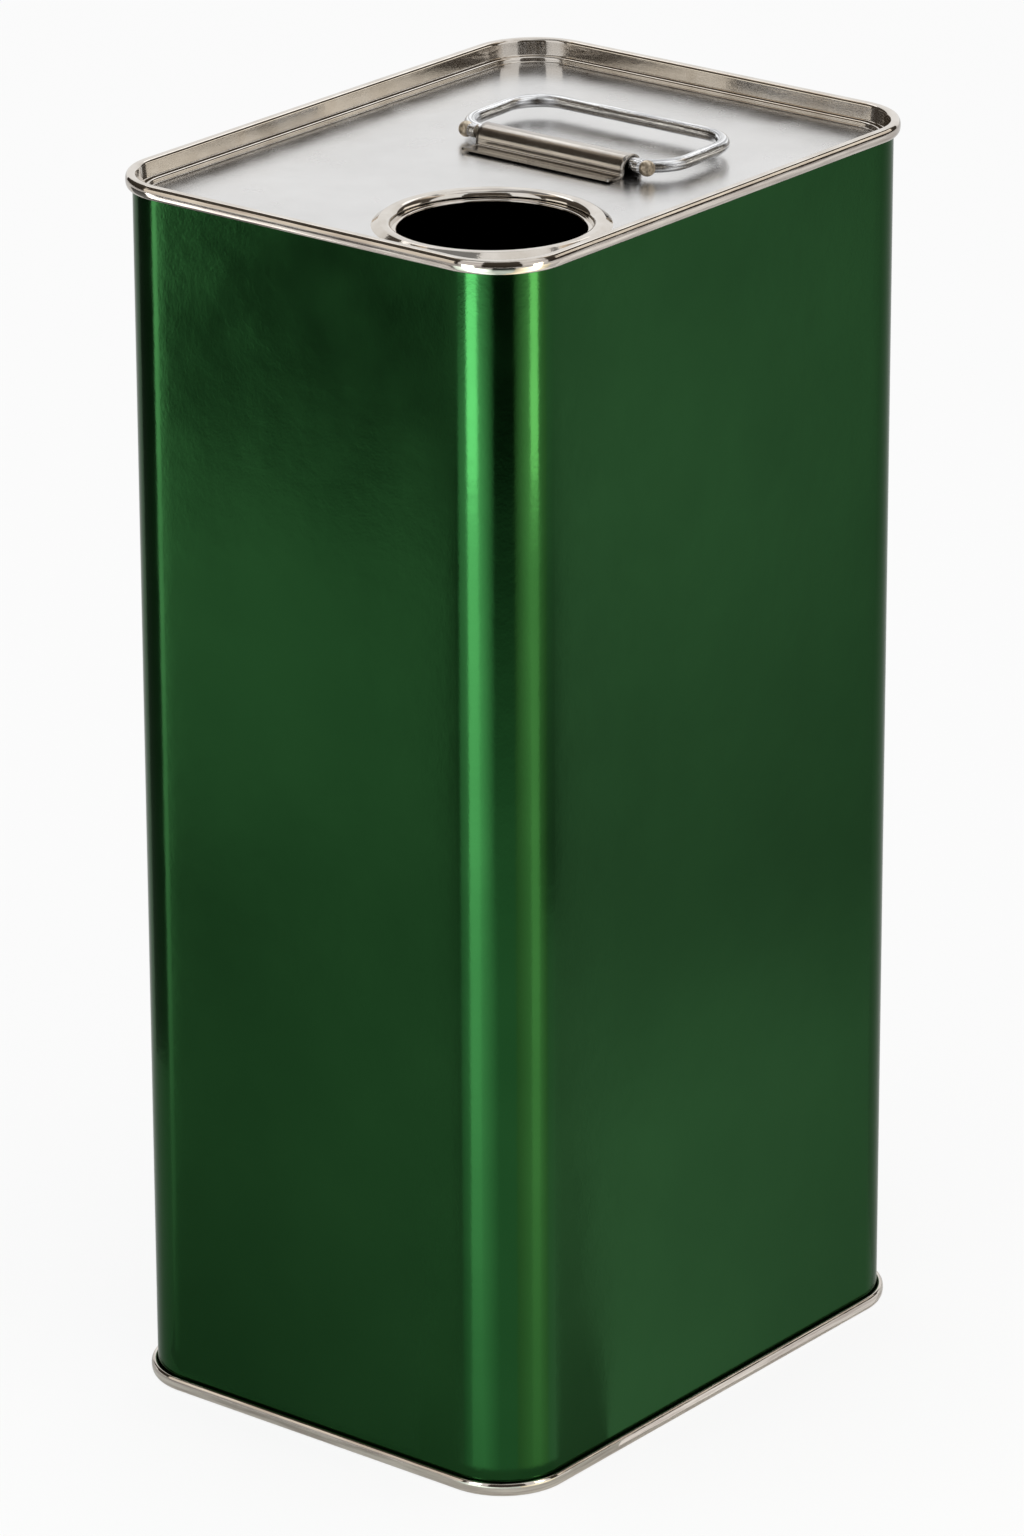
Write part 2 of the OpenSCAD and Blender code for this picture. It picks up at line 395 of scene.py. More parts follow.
def collar_path():
    """Section of the collar and neck, from its foot on the panel inwards, as (radius, height)."""
    bend = END_BEND_R
    step_r = STEP_D / 2 + SHEET_T / 2
    neck_r = NECK_D / 2 + SHEET_T / 2
    top_z = PANEL_Z + COLLAR_H
    crest = arc(COLLAR_TOP_D / 2 - CREST_R, top_z - CREST_R, CREST_R, 90 - FLANK_SLOPE, 90, BEND_STEPS)
    foot = arc(COLLAR_FOOT_D / 2 + FOOT_R / 2, PANEL_Z + FOOT_R, FOOT_R, 270, 270 - FLANK_SLOPE, FOOT_STEPS)
    return (foot + crest
            + arc(step_r + LIP_R, top_z - LIP_R, LIP_R, 90, 180, LIP_STEPS)
            + arc(step_r - bend / 2, top_z - STEP_DEPTH + bend / 2, bend / 2, 0, -90, NECK_STEPS)
            + arc(neck_r + bend / 2, top_z - STEP_DEPTH - bend / 2, bend / 2, 90, 180, NECK_STEPS)
            + [(neck_r, top_z + SHEET_T / 2 - NECK_DEPTH)])


def panel_unevenness(x, y, room):
    """How far a panel lies too high, none at its edges. room is the distance to the nearer edge."""
    wave = sum(share * noise.noise(Vector((x / length, y / length, place)))
               for length, place, share in LID_WAVES)
    return LID_WAVE * wave * smooth(room / LID_FADE)


def make_end(name, holed, lift, mirror):
    """An end: rolled edge, chuck wall, ledge and panel, with the pouring hole's collar if holed."""
    places = stations(LID_STEP)
    edge = end_roll() + end_dish()
    centre = Vector((HOLE_X, HOLE_Y)) if holed else Vector((0, 0))
    collar = collar_path() if holed else []
    inner_r = collar[0][0] if holed else PANEL_CENTRE_R
    bm = bmesh.new()
    skins = []
    for shift in (SHEET_T / 2, -SHEET_T / 2):
        rings = [[(*(p + n * s), z + lift) for p, n, _ in places] for s, z in beside(edge, shift)]
        # Below the crest a seam's outer wall takes the darker seam look: painted shade
        finishes = [SEAM_WALL_PAINTED_SHADE if s < BODY_HOOK_S and z < -PAINTED_SHADE_START_DEPTH else WORKED for s, z in edge]
        rim = [Vector(v[:2]) for v in rings[-1]]
        panel_z = PANEL_Z + shift
        ways = [(p - centre).normalized() for p in rim]
        for j in range(1, PANEL_STEPS + 1):
            ring = []
            for p, way in zip(rim, ways):
                start = centre + way * inner_r
                q = p + (start - p) * (j / PANEL_STEPS)
                room = min((q - p).length, (q - start).length)
                ring.append((q.x, q.y, panel_z + lift + panel_unevenness(q.x, q.y, room)))
            rings.append(ring)
            finishes.append(FLAT)
        if holed:
            for r, z in beside(collar, -shift)[1:]:
                rings.append([(centre.x + w.x * r, centre.y + w.y * r, z + lift) for w in ways])
                finishes.append(WORKED)
        skins.append((rings, finishes))
    (upper, upper_finishes), (lower, lower_finishes) = skins
    outline = upper + lower[::-1]
    finishes = upper_finishes[1:] + [WORKED] + lower_finishes[:0:-1] + [WORKED]
    if holed:
        add_rings(bm, outline, True, finishes)
    else:
        loops = add_rings(bm, upper, False, finishes)
        loops += add_rings(bm, lower[::-1], False, finishes[len(upper):])
        first, last = loops[0], loops[-1]
        for i in range(len(first)):
            j = (i + 1) % len(first)
            bm.faces.new((last[i], last[j], first[j], first[i]))
        for loop in (loops[len(upper) - 1], loops[len(upper)]):
            middle = bm.verts.new((0, 0, loop[0].co.z))
            for i in range(len(loop)):
                bm.faces.new((loop[i], loop[(i + 1) % len(loop)], middle))
    if mirror:
        for v in bm.verts:
            v.co.z = -v.co.z
    return mesh_object(name, bm)


# Shape of the handle

def make_strap():
    """Folded strap: an arch between two flanges, swept along X, with its cut edges broken."""
    half = ARCH_W / 2 + STRAP_T / 2
    low = STRAP_T / 2
    r = FLANGE_BEND_R
    spring_z = AXIS_H + WIRE_D / 2 + ARCH_CLEAR - ARCH_W / 2
    left = arc(-half - r, low + r, r, 270, 360, BEND_STEPS)
    right = arc(half + r, low + r, r, 180, 270, BEND_STEPS)
    arch = arc(0, spring_z, half, 180, 0, ARCH_STEPS)

    def outline(inset):
        path = [(-half - FLANGE_W + inset, low)] + line((-half - FLANGE_W, low), left[0], FLANGE_STEP)[:-1]
        path += left + arch + right
        path += line(right[-1], (half + FLANGE_W, low), FLANGE_STEP)[:-1] + [(half + FLANGE_W - inset, low)]
        return beside(path, STRAP_T / 2 - inset) + beside(path, -STRAP_T / 2 + inset)[::-1]

    run = STRAP_LEN - 2 * STRAP_BROKEN
    sections = [(0, STRAP_BROKEN), (STRAP_BROKEN, 0)]
    sections += [(STRAP_BROKEN + run * i / STRAP_STEPS, 0) for i in range(1, STRAP_STEPS + 1)]
    sections.append((STRAP_LEN, STRAP_BROKEN))
    bm = bmesh.new()
    rings = []
    for x, inset in sections:
        ring = []
        for y, z in outline(inset):
            place = Vector((x / STRAP_WAVE_LONG, y / STRAP_WAVE_SHORT, z / STRAP_WAVE_SHORT))
            wave = STRAP_WAVE * noise.noise(place)
            turned_up = FLANGE_LIFT * smooth((abs(y) - half - FLANGE_W + FLANGE_LIFT_W) / FLANGE_LIFT_W)
            height = PANEL_TOP + max(z + wave, 0) + turned_up
            ring.append((STRAP_X - STRAP_LEN / 2 + x, HINGE_Y + y + wave, height))
        rings.append(ring)
    loops = add_rings(bm, rings, False)
    half_count = len(loops[0]) // 2
    for loop in (loops[0], loops[-1]):
        for i in range(half_count - 1):
            bm.faces.new((loop[i], loop[i + 1], loop[-2 - i], loop[-1 - i]))
    return mesh_object("handle_strap_folded", bm, sharp=50)


def add_rod(bm, path, radius_at, knob=0.0):
    """A round rod along a path. radius_at gives its radius from the distances to its start and end.

    The ends, and the last stretch of length knob, take the second material. The vertices get their place
    round and along the rod, for streaks that run lengthwise, partly drawing lines and partly painted
    reflections.
    """
    points = [Vector(p) for p in path]
    places = [0.0]
    for a, b in zip(points, points[1:]):
        places.append(places[-1] + (b - a).length)
    girth = bm.verts.layers.float_vector.get("girth") or bm.verts.layers.float_vector.new("girth")
    rings = []
    rounds = []
    for i, (point, place) in enumerate(zip(points, places)):
        ahead, behind = points[min(i + 1, len(points) - 1)], points[max(i - 1, 0)]
        tangent = (ahead - behind).normalized()
        across = tangent.cross(Vector((0, 0, 1))).normalized()
        above = across.cross(tangent)
        radius = radius_at(place, places[-1] - place)
        ring = []
        for k in range(WIRE_SIDES):
            a = 2 * pi * k / WIRE_SIDES
            way = across * cos(a) + above * sin(a)
            wave = WIRE_WAVE * noise.noise(point * WIRE_WAVE_ALONG + way * WIRE_WAVE_ROUND)
            ring.append(point + way * (radius + wave))
            rounds.append((cos(a), sin(a), place * STREAK_PACE))
        rings.append(ring)
    finishes = [int(places[-1] - place < knob) for place in places[:-1]]
    loops = add_rings(bm, rings, False, finishes)
    for vert, place in zip((v for loop in loops for v in loop), rounds):
        vert[girth] = place
    for loop in (loops[0], loops[-1]):
        centre = bm.verts.new(sum((v.co for v in loop), Vector()) / len(loop))
        for i in range(len(loop)):
            bm.faces.new((loop[i], loop[(i + 1) % len(loop)], centre)).material_index = 1


def wire_radius(from_start, from_end):
    """The wire, with its cut edges broken."""
    return WIRE_D / 2 - max(WIRE_BROKEN - min(from_start, from_end), 0)


def stub_radius(from_start, from_end):
    """A stub: wire that ends in a knob, a ball cut flat at the end."""
    inside = KNOB_R ** 2 - (from_end - KNOB_FLAT) ** 2
    ball = sqrt(inside) if inside > 0 else 0.0
    groove = GROOVE_DEPTH * smooth(1 - abs(from_end - KNOB_LEN) / GROOVE_HALF)
    return max(ball, WIRE_D / 2 - groove) if from_end > KNOB_FLAT else ball


def bail_path():
    """Middle of the bail's wire before its tilt, from one end inside the arch round to the other.

    It has one more point close to each end, for the broken edges of the cut.
    """
    half = BAIL_W / 2
    near, far = NEAR_BEND_R, FAR_BEND_R
    path = [(END_GAP / 2, 0)]
    path += line(path[-1], (half - near, 0), WIRE_STEP)
    path += arc(half - near, near, near, -90, 0, WIRE_BEND_STEPS)[1:]
    path += line(path[-1], (half, BAIL_REACH - far), WIRE_STEP)
    path += arc(half - far, BAIL_REACH - far, far, 0, 90, WIRE_BEND_STEPS)[1:]
    path += line(path[-1], (0, BAIL_REACH), WIRE_STEP)
    path.insert(1, (path[0][0] + (path[1][0] - path[0][0]) * WIRE_CUT_SHARE, 0))
    return path + [(-x, y) for x, y in path[-2::-1]]


def make_bail():
    """Bail: the bent wire and its two stubs, tilted so that the grip lies above the hinge's axis."""
    bm = bmesh.new()
    add_rod(bm, [(x, y, 0) for x, y in bail_path()], wire_radius)
    start = STRAP_LEN / 2 + SIDE_PLAY
    for sign in (-1, 1):
        stub = [(sign * start, -STUB_AHEAD)]
        stub += line(stub[0], (sign * (start + STUB_LEN), -STUB_AHEAD), STUB_STEP)
        add_rod(bm, [(x, y, 0) for x, y in stub], stub_radius, KNOB_LEN)
    tilt = Matrix.Rotation(asin(GRIP_RISE / BAIL_REACH), 4, "X")
    bm.transform(Matrix.Translation((STRAP_X, HINGE_Y, HINGE_Z)) @ tilt)
    return mesh_object("handle_bail_wire", bm, sharp=35)


# Materials

class Look:
    """A material with a Principled shader, and short ways to add nodes to it."""

    def __init__(self, name, **settings):
        self.material = bpy.data.materials.new(name)
        self.material.use_nodes = True
        self.tree = self.material.node_tree
        self.shader = self.tree.nodes["Principled BSDF"]
        for socket, value in settings.items():
            self.shader.inputs[socket.replace("_", " ")].default_value = value
        self.place = self.add("ShaderNodeTexCoord").outputs["Object"]

    def add(self, kind, links=None, **values):
        node = self.tree.nodes.new(kind)
        for name, value in values.items():
            if hasattr(node, name):
                setattr(node, name, value)
            else:
                node.inputs[name.replace("_", " ")].default_value = value
        for socket, source in (links or {}).items():
            self.tree.links.new(source, node.inputs[socket])
        return node

    def stretched(self, scale):
        """Object coordinates scaled by axis."""
        return self.add("ShaderNodeMapping", {"Vector": self.place}, Scale=scale).outputs["Vector"]

    def noise(self, scale, detail=3.0, roughness=0.5, where=None):
        return self.add("ShaderNodeTexNoise", {"Vector": where or self.place}, Scale=scale, Detail=detail,
                        Roughness=roughness).outputs["Fac"]

    def ramp(self, source, low, high, from_low, from_high):
        """Maps a value from one range to the range from low to high."""
        node = self.add("ShaderNodeMapRange", {"Value": source})
        sockets = ("From Min", "From Max", "To Min", "To Max")
        for socket, value in zip(sockets, (from_low, from_high, low, high)):
            node.inputs[socket].default_value = value
        return node.outputs["Result"]

    def tint(self, factor, dark, light):
        """Colours the surface between dark and light."""
        node = self.add("ShaderNodeMix", data_type="RGBA")
        self.tree.links.new(factor, node.inputs["Factor"])
        for socket, colour in ((node.inputs[6], dark), (node.inputs[7], light)):
            socket.default_value = (*colour, 1)
        self.feed("Base Color", node.outputs[2])

    def roughen(self, source, low, high):
        """Roughness from low to high, over the range in which a noise mostly stays."""
        self.feed("Roughness", self.ramp(source, low, high, 0.3, 0.7))

    def bump(self, height, strength, distance, normal=None):
        links = {"Height": height}
        if normal:
            links["Normal"] = normal
        return self.add("ShaderNodeBump", links, Strength=strength, Distance=distance).outputs["Normal"]

    def feed(self, socket, source):
        self.tree.links.new(source, self.shader.inputs[socket])


def green_lacquer():
    """Translucent green over tin. The edge tint keeps it green at a low angle."""
    look = Look("green_lacquer", Metallic=1.0, Roughness=0.2, Specular_Tint=(0.66, 0.70, 0.66, 1))
    cloud = look.noise(26, 3)
    look.tint(look.ramp(cloud, 0, 1, 0.3, 0.7), (0.0112, 0.0495, 0.0135), (0.0132, 0.0560, 0.0155))
    look.roughen(look.noise(60, 4), 0.12, 0.17)
    grain = look.bump(look.noise(1500, 2, 0.6), 0.05, 0.0002)
    look.feed("Normal", look.bump(look.noise(190, 3), 0.03, 0.001, grain))
    return look.material


def tinplate():
    """Satin sheet as it was rolled, for the flat panels."""
    look = Look("bare_tinplate", Metallic=1.0, Roughness=0.2)
    cloud = look.noise(34, 4)
    look.tint(look.ramp(cloud, 0, 1, 0.3, 0.7), (0.66, 0.655, 0.65), (0.72, 0.715, 0.71))
    look.roughen(look.noise(90, 5), 0.20, 0.28)
    rolled = look.noise(300, 3, 0.6, look.stretched((1, 0.12, 1)))
    grain = look.bump(look.noise(1700, 2, 0.6), 0.03, 0.0002)
    look.feed("Normal", look.bump(rolled, 0.02, 0.0005, grain))
    return look.material


def worked_tinplate():
    """The same sheet where it is bent or pressed: brighter and smoother."""
    look = Look("worked_tinplate", Metallic=1.0, Roughness=0.12)
    cloud = look.noise(120, 4)
    look.tint(look.ramp(cloud, 0, 1, 0.3, 0.7), (0.58, 0.53, 0.47), (0.72, 0.68, 0.63))
    look.roughen(look.noise(260, 4), 0.05, 0.11)
    grain = look.bump(look.noise(1700, 2, 0.6), 0.03, 0.0002)
    look.feed("Normal", look.bump(look.noise(380, 3), 0.05, 0.0004, grain))
    return look.material


def seam_tinplate_painted_shade():
    """The outer wall of a seam: darker than the worked sheet, which is painted shade, with fine lines left by
    the seaming roll.
    """
    look = Look("seam_tinplate_painted_shade", Metallic=1.0, Roughness=0.15)
    lines = look.noise(70, 4, 0.6, look.stretched((1, 1, 22)))
    # Colours darker than the worked sheet's: painted shade, under the real lines of the seaming roll
    look.tint(look.ramp(lines, 0, 1, 0.35, 0.65), (0.42, 0.37, 0.33), (0.66, 0.61, 0.55))
    look.roughen(look.noise(260, 4), 0.05, 0.10)
    look.feed("Normal", look.bump(lines, 0.10, 0.0002))
    return look.material


def strap_steel():
    """Bare sheet of the strap, with dark and light streaks along it."""
    look = Look("strap_steel", Metallic=1.0, Roughness=0.18)
    streaks = look.noise(260, 4, 0.6, look.stretched((0.06, 1, 1)))
    look.tint(look.ramp(streaks, 0, 1, 0.35, 0.65), (0.29, 0.265, 0.24), (0.58, 0.55, 0.51))
    look.roughen(look.noise(240, 4, 0.6), 0.12, 0.24)
    look.feed("Normal", look.bump(streaks, 0.06, 0.0003))
    return look.material


def bright_wire():
    """Drawn wire, with streaks that follow it round its bends: partly lines left by drawing, partly painted
    reflections.
    """
    look = Look("bright_wire", Metallic=1.0, Roughness=0.1)
    girth = look.add("ShaderNodeAttribute", attribute_name="girth").outputs["Vector"]
    streaks = look.noise(5, 4, 0.7, girth)
    # Light and dark bands round the wire: painted reflections, with the drawing lines
    look.tint(look.ramp(streaks, 0, 1, 0.42, 0.55), (0.40, 0.40, 0.41), (0.92, 0.93, 0.94))
    look.roughen(look.noise(320, 4), 0.05, 0.13)
    look.feed("Normal", look.bump(streaks, 0.25, 0.0004))
    return look.material


def cut_wire():
    """The knobs and the cut ends of the wire, duller and browner."""
    look = Look("cut_wire", Metallic=1.0, Roughness=0.4)
    spots = look.noise(900, 3, 0.6)
    look.tint(look.ramp(spots, 0, 1, 0.4, 0.6), (0.42, 0.35, 0.26), (0.82, 0.72, 0.58))
    look.feed("Normal", look.bump(spots, 0.5, 0.0004))
    return look.material


def sealing_compound():
    look = Look("sealing_compound", Roughness=0.7)
    look.tint(look.noise(400, 3), (0.14, 0.15, 0.14), (0.20, 0.21, 0.19))
    return look.material


def dress(obj, *materials):
    """Gives an object its materials. Its faces already say which one they take."""
    for material in materials:
        obj.data.materials.append(material)


# Pieces

tin = tinplate()
worked_tin = worked_tinplate()
# The seam look, darkened as painted shade
seam_tin = seam_tinplate_painted_shade()

body = make_body()
dress(body, green_lacquer())
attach(body, "can")
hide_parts("body_shell")

lid = make_end("top_end_pressing", True, CAN_H, False)
dress(lid, tin, worked_tin, seam_tin)
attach(lid, "can")
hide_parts("top_end")

base = make_end("bottom_end_pressing", False, 0, True)
dress(base, tin, worked_tin, seam_tin)
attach(base, "can")
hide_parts("bottom_end")

strap = make_strap()
dress(strap, strap_steel())
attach(strap, "can")
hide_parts("handle_strap")

bail = make_bail()
dress(bail, bright_wire(), cut_wire())
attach(bail, "bail")
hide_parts("handle_bail")

compound = sealing_compound()
for name in ("top_seam_compound", "bottom_seam_compound"):
    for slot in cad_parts[name].material_slots:
        slot.link = "OBJECT"
        slot.material = compound


# Studio

def towards(azimuth, elevation=0.0):
    """The way from the object to that azimuth and elevation, in degrees."""
    a, e = radians(azimuth), radians(elevation)
    return Vector((sin(a) * cos(e), -cos(a) * cos(e), sin(e)))


def corner(x, y):
    """Centre of a round corner of the can, on the ground and in metres. x and y say on which sides."""
    return Vector((x * (CAN_W / 2 - CORNER_R), y * (CAN_D / 2 - CORNER_R), 0)) * MM


def seen_directly(tree):
    """1 for camera, glossy and transmission rays, else 0."""
    path = tree.nodes.new("ShaderNodeLightPath")
    total = path.outputs["Is Camera Ray"]
    for name in ("Is Glossy Ray", "Is Transmission Ray"):
        node = tree.nodes.new("ShaderNodeMath")
        node.operation = "MAXIMUM"
        tree.links.new(total, node.inputs[0])
        tree.links.new(path.outputs[name], node.inputs[1])
        total = node.outputs[0]
    return total


def make_world():
    """A world that is white where it is seen, itself or mirrored, and lights the scene a little less."""
    world = bpy.data.worlds.new("studio")
    bpy.context.scene.world = world
    world.use_nodes = True
    tree = world.node_tree
    background = tree.nodes["Background"]
    background.inputs["Color"].default_value = (1, 1, 1, 1)
    strength = tree.nodes.new("ShaderNodeMapRange")
    strength.inputs["To Min"].default_value = WORLD_LIGHT
    strength.inputs["To Max"].default_value = 1.0
    tree.links.new(seen_directly(tree), strength.inputs["Value"])
    tree.links.new(strength.outputs["Result"], background.inputs["Strength"])


def make_card(name, start, end, near, far, glows, colour=PLAIN, corner_r=0.0):
    """A card that only reflections see, swept from one centre and azimuth to another.

    start and end are each a centre and an azimuth in degrees. near and far are each a distance from the
    centre and a height, in metres. glows holds the glow at the near edge and at the far edge, each from
    start to end. With corner_r the distance starts on a round corner of that radius, at the place where it
    mirrors the card to the camera.
    """
    columns = ceil(abs(end[1] - start[1]) / CARD_STEP) + 1
    bm = bmesh.new()
    glow = bm.verts.layers.float.new("glow")
    grid = []
    for i in range(columns + 1):
        t = i / columns
        azimuth = start[1] + (end[1] - start[1]) * t
        way = towards(azimuth)
        centre = start[0].lerp(end[0], t) + towards((azimuth + CAMERA_AZIMUTH) / 2) * corner_r
        column = []
        for j in range(CARD_ROWS + 1):
            u = j / CARD_ROWS
            distance, height = (a + (b - a) * u for a, b in zip(near, far))
            vert = bm.verts.new(centre + way * distance + Vector((0, 0, height)))
            near_glow, far_glow = (a + (b - a) * t for a, b in glows)
            vert[glow] = near_glow + (far_glow - near_glow) * u
            column.append(vert)
        grid.append(column)
    for left, right in zip(grid, grid[1:]):
        for j in range(CARD_ROWS):
            bm.faces.new((left[j], right[j], right[j + 1], left[j + 1]))
    mesh = bpy.data.meshes.new(name)
    bm.to_mesh(mesh)
    bm.free()
    card = bpy.data.objects.new(name, mesh)
    bpy.context.scene.collection.objects.link(card)
    for kind in ("camera", "diffuse", "transmission", "shadow", "volume_scatter"):
        setattr(card, "visible_" + kind, False)
    material = bpy.data.materials.new(name)
    material.use_nodes = True
    tree = material.node_tree
    tree.nodes.remove(tree.nodes["Principled BSDF"])
    strength = tree.nodes.new("ShaderNodeAttribute")
    strength.attribute_name = "glow"
    light = tree.nodes.new("ShaderNodeEmission")
    light.inputs["Color"].default_value = (*colour, 1)
    tree.links.new(strength.outputs["Fac"], light.inputs["Strength"])
    tree.links.new(light.outputs["Emission"], tree.nodes["Material Output"].inputs["Surface"])
    mesh.materials.append(material)


def make_floor():
    """A pale floor that shows white where the camera sees it unshaded, and keeps the object's shadow."""
    bm = bmesh.new()
    bmesh.ops.create_grid(bm, x_segments=1, y_segments=1, size=FLOOR_HALF)
    mesh = bpy.data.meshes.new("floor")
    bm.to_mesh(mesh)
    bm.free()
    floor = bpy.data.objects.new("floor", mesh)
    floor.location.z = cad_box[0].z
    bpy.context.scene.collection.objects.link(floor)
    material = bpy.data.materials.new("pale_floor")
    material.use_nodes = True
    tree = material.node_tree
    output = tree.nodes["Material Output"]
    tree.nodes.remove(tree.nodes["Principled BSDF"])
    diffuse = tree.nodes.new("ShaderNodeBsdfDiffuse")
    diffuse.inputs["Color"].default_value = (FLOOR_GREY, FLOOR_GREY, FLOOR_GREY, 1)
    white = tree.nodes.new("ShaderNodeEmission")
    white.inputs["Color"].default_value = (1, 1, 1, 1)
    path = tree.nodes.new("ShaderNodeLightPath")
    share = tree.nodes.new("ShaderNodeMapRange")
    share.inputs["To Max"].default_value = FLOOR_WHITE
    mixed = tree.nodes.new("ShaderNodeMixShader")
    tree.links.new(path.outputs["Is Camera Ray"], share.inputs["Value"])
    tree.links.new(share.outputs["Result"], mixed.inputs["Fac"])
    tree.links.new(diffuse.outputs["BSDF"], mixed.inputs[1])
    tree.links.new(white.outputs["Emission"], mixed.inputs[2])
    tree.links.new(mixed.outputs["Shader"], output.inputs["Surface"])
    mesh.materials.append(material)


def make_lamp(name, place, target, width, height, power, colour=PLAIN):
    """A rectangular lamp that points at target. Its power is in watts."""
    data = bpy.data.lights.new(name, "AREA")
    data.shape = "RECTANGLE"
    data.size = width
    data.size_y = height
    data.energy = power
    data.color = colour
    lamp = bpy.data.objects.new(name, data)
    lamp.location = place
    lamp.rotation_euler = (Vector(target) - Vector(place)).to_track_quat("-Z", "Y").to_euler()
    lamp.visible_camera = False
    bpy.context.scene.collection.objects.link(lamp)


def make_camera():
    """The photo's camera: a target beside and above the origin, a direction, a distance and a roll."""
    a, roll = radians(CAMERA_AZIMUTH), radians(CAMERA_ROLL)
    back = towards(CAMERA_AZIMUTH, CAMERA_ELEVATION)
    right = Vector((cos(a), sin(a), 0))
    up = back.cross(right)
    place = right * CAMERA_TARGET_RIGHT + Vector((0, 0, CAMERA_TARGET_HEIGHT)) + back * CAMERA_DISTANCE
    tilted_right = right * cos(roll) + up * sin(roll)
    tilted_up = up * cos(roll) - right * sin(roll)
    data = bpy.data.cameras.new("camera")
    data.lens = CAMERA_LENS
    data.sensor_width = CAMERA_SENSOR
    camera = bpy.data.objects.new("camera", data)
    axes = Matrix((tilted_right, tilted_up, back)).transposed().to_4x4()
    camera.matrix_world = Matrix.Translation(place) @ axes
    bpy.context.scene.collection.objects.link(camera)
    bpy.context.scene.camera = camera


bpy.context.scene.view_settings.view_transform = "Standard"
make_camera()
make_world()
make_floor()

left_corner = corner(-1, -1)
front_corner = corner(1, -1)
right_corner = corner(1, 1)
top_middle = Vector((0, 0, CAN_H)) * MM
body_corner_r = (CORNER_R - BODY_WALL_S) * MM

# Two tall strips light the front corner: azimuth, width, power and colour
strip_target = front_corner + Vector((0, 0, STRIP_HEIGHT))
for name, azimuth, width, power, colour in (
        ("strip_left", -5, 0.115, 0.33, COOL),
        ("strip_right", 97, 0.09, 0.34, WARM)):
    make_lamp(name, strip_target + towards(azimuth) * STRIP_DISTANCE, strip_target, width, STRIP_TALL,
              power, colour)
make_lamp("overhead", (0.05, 0.1, 1.3), (0, 0, 0.2), 0.8, 0.8, 1.5)

# Fans of cards on the ground give the round front corner its stripes: first and last azimuth, near and far
# distance, and the glow at the near and at the far edge
for name, first, last, near, far, glows, colour in (
        ("front_dark_left", -38.5, -31, CONTACT, 0.80, ((0.75, 0.8), (0.25, 0.25)), PLAIN),
        ("front_left_rise", -31, -14, CONTACT, 0.90, ((0.8, 1.5), (2.2, 3.2)), COOL),
        ("front_left", -14, 5, CONTACT, 0.50, ((2.0, 2.1), (6.8, 6.3)), COOL),
        ("front_left_far", -14, 5, 0.50, 1.0, ((6.8, 6.3), (10, 10)), COOL),
        ("front_left_fall", 5, 34, CONTACT, 0.36, ((2.2, 1.2), (3.8, 1.25)), COOL),
        ("front_left_far_fall", 5, 30, 0.36, 1.0, ((4.6, 1.1), (5.5, 0.3)), COOL),
        ("front_middle", 34, 64, CONTACT, 0.36, ((1.2, 1.2), (1.2, 1.2)), COOL),
        ("front_far_middle", 30, 64, 0.36, 0.78, ((1.15, 1.15), (0.04, 0.04)), COOL),
        ("front_middle_dark", 30, 64, 0.78, 1.6, ((0.04, 0.04), (0.02, 0.02)), COOL),
        ("front_right_rise", 64, 91, CONTACT, 0.36, ((1.2, 1.9), (1.2, 2.3)), WARM),
        ("front_right_far_rise", 64, 91, 0.36, 1.0, ((1.2, 2.3), (0.2, 5.0)), WARM),
        ("front_right", 91, 106, CONTACT, 0.36, ((2.1, 2.1), (3.7, 3.7)), WARM),
        ("front_right_far", 91, 106, 0.36, 1.0, ((3.7, 3.4), (3.0, 3.0)), WARM),
        ("front_right_fall", 106, 122, CONTACT, 0.36, ((2.0, 1.4), (2.6, 1.1)), WARM),
        ("front_right_far_fall", 106, 122, 0.36, 1.0, ((1.6, 0.6), (2.5, 1.5)), WARM),
        ("front_dark_right", 122, 141, CONTACT, 0.36, ((1.35, 1.3), (1.1, 1.0)), PLAIN),
        ("front_far_dark_right", 122, 141, 0.36, 1.0, ((0.5, 0.35), (1.5, 1.2)), PLAIN)):
    make_card(name, (front_corner, first), (front_corner, last), (near, CARD_LIFT), (far, CARD_LIFT), glows,
              colour, body_corner_r)

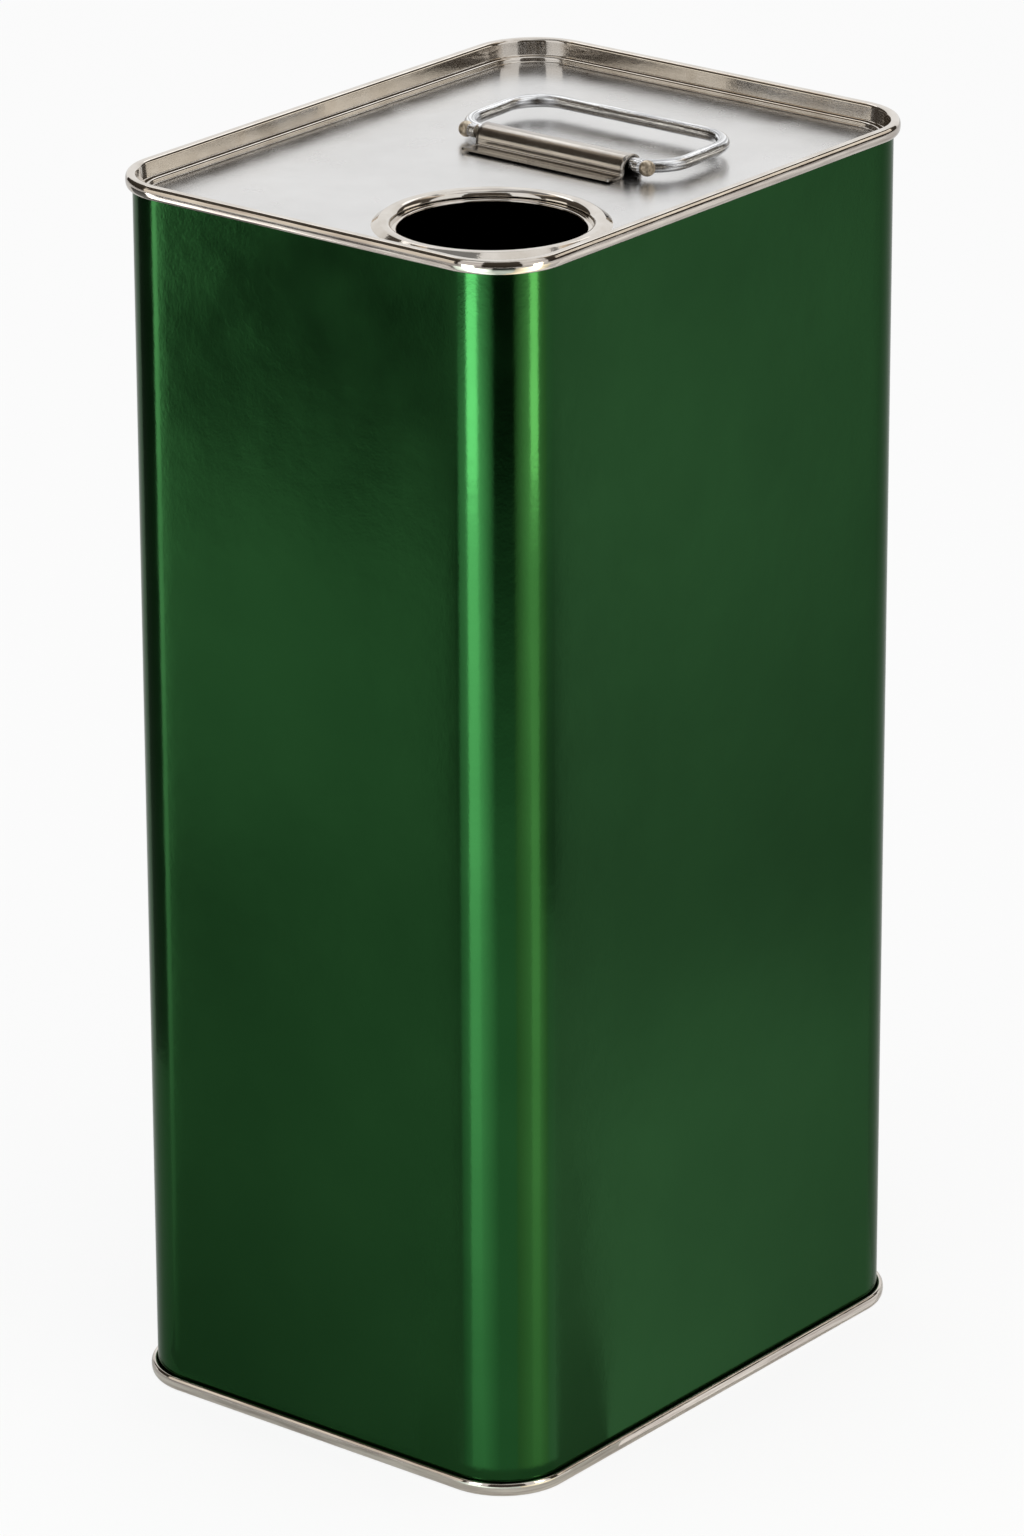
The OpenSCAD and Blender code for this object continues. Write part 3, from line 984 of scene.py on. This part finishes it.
# Cards on the ground before the two flat faces: the face, near and far distance, and the glows
left_face = (left_corner, -41), (front_corner, -38.6)
right_face = (front_corner, 141.2), (right_corner, 144.2)
for name, face, near, far, glows in (
        ("left_face_near", left_face, 0.030, 0.22, ((0.48, 0.65), (0.66, 0.9))),
        ("left_face_dip", left_face, 0.22, 0.33, ((0.66, 0.9), (0.36, 1.0))),
        ("left_face_rise", left_face, 0.33, 0.46, ((0.36, 1.0), (0.92, 1.1))),
        ("left_face_middle", left_face, 0.46, 0.66, ((1.0, 1.1), (1.12, 1.2))),
        ("left_face_patch_edge", left_face, 0.66, 0.72, ((1.12, 1.2), (1.1, 0.30))),
        ("left_face_patch_start", left_face, 0.72, 0.80, ((1.1, 0.30), (0.16, 0.18))),
        ("left_face_patch", left_face, 0.80, 1.4, ((0.16, 0.18), (0.10, 0.15))),
        ("right_face_near", right_face, 0.030, 0.20, ((1.25, 0.85), (1.3, 1.05))),
        ("right_face_dip", right_face, 0.20, 0.33, ((1.3, 1.05), (0.95, 0.62))),
        ("right_face_rise", right_face, 0.33, 0.66, ((0.95, 0.62), (1.35, 0.9))),
        ("right_face_far", right_face, 0.66, 1.4, ((1.35, 0.9), (1.3, 0.9)))):
    make_card(name, face[0], face[1], (near, CARD_LIFT), (far, CARD_LIFT), glows)

# Fans of cards on the ground for the round corner at the left
for name, first, last, near, far, glows in (
        ("left_edge_stripe", -53, -43, 0.02, 1.2, ((0.8, 0.6), (6.5, 6.0))),
        ("left_edge_dark", -94, -53, 0.20, 1.2, ((0.25, 0.25), (0.05, 0.05)))):
    make_card(name, (left_corner, first), (left_corner, last), (near, CARD_LIFT), (far, CARD_LIFT), glows,
              PLAIN, body_corner_r)

# Upright cards round the can for the bare metal, dark walls and before them bright patches: distance, first
# and last azimuth, lower and upper edge over the can's top, glow at these edges, and colour
for name, distance, first, last, low, high, glow_low, glow_high, colour in (
        ("wall_left", WALL_DISTANCE, -105, -18, -0.2, 1.75, 0.04, 0.10, BROWN),
        ("wall_left_high", WALL_DISTANCE, -105, -18, 1.75, 2.3, 0.10, 1.0, BROWN),
        ("wall_front", WALL_DISTANCE, 16, 72, -0.2, 1.9, 0.05, 0.10, BROWN),
        ("wall_right", WALL_DISTANCE, 112, 172, -0.2, 1.4, 0.05, 0.10, BROWN),
        ("wall_right_high", WALL_DISTANCE, 112, 172, 1.4, 2.2, 0.10, 1.0, BROWN),
        ("patch_left", PATCH_DISTANCE, -54, -24, -0.2, 0.45, 1.15, 1.15, BEIGE),
        ("patch_right", PATCH_DISTANCE, 127, 156, 0.05, 0.45, 1.2, 1.2, BEIGE),
        ("crest_left", PATCH_DISTANCE, -126, -92, 1.25, 1.9, 1.8, 1.8, PLAIN),
        ("crest_right", PATCH_DISTANCE, 178, 204, 1.0, 1.45, 1.8, 1.8, PLAIN)):
    make_card(name, (top_middle, first), (top_middle, last), (distance, low), (distance, high),
              ((glow_low, glow_low), (glow_high, glow_high)), colour)

# A dark card behind the overhead lamp, whose light would else add to the white of the world in reflections
make_card("ceiling", (top_middle, 0), (top_middle, 360), (0.001, 1.02), (0.64, 1.02),
          ((0.25, 0.25), (0.25, 0.25)))
